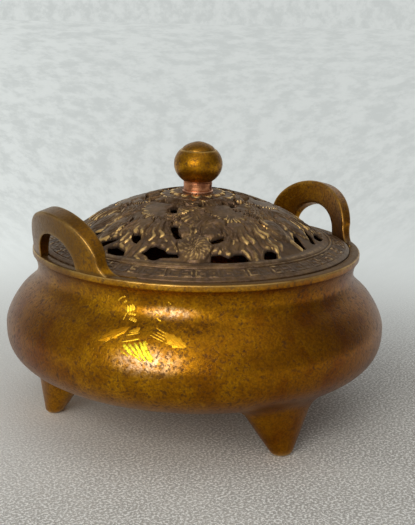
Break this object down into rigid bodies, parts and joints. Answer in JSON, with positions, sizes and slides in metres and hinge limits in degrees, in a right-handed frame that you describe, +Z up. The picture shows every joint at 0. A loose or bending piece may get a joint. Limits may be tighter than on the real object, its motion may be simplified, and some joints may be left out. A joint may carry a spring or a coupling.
{
  "type": "tripod incense burner",
  "caption": "Low round bronze bowl on conical feet with loop handles at the rim and a loose pierced domed lid with a ball finial, for burning incense on ash.",
  "frame": {"origin": "point of the resting surface under the middle of the bowl", "axes": "+Z up along the bowl's axis, handles at +X and -X, one foot towards -Y"},
  "size_m": [0.13, 0.13, 0.0957],
  "materials": {
    "bronze_body": "brown patinated bronze with fine dark pits and worn golden highlights",
    "bronze_lid": "dark oxidised bronze, rubbed bright on the carved edges",
    "copper": "polished reddish copper, softly tarnished",
    "hardware": "dull brass",
    "gilt": "brushed gold leaf, rubbed and worn"
  },
  "bodies": {
    "vessel": {"bowl": "bronze_body", "handle_left": "bronze_body", "handle_right": "bronze_body", "foot_front": "bronze_body", "foot_back_left": "bronze_body", "foot_back_right": "bronze_body"},
    "cover": {"lid": "bronze_lid", "finial_knob": "bronze_body", "finial_collar": "copper", "finial_stud": "hardware", "finial_washer": "hardware", "finial_nut": "hardware"}
  },
  "joints": [
    {"name": "lid_lift", "type": "slide", "parent": "vessel", "child": "cover", "axis": [0, 0, 1], "range_m": [0, 0.045]}
  ]
}
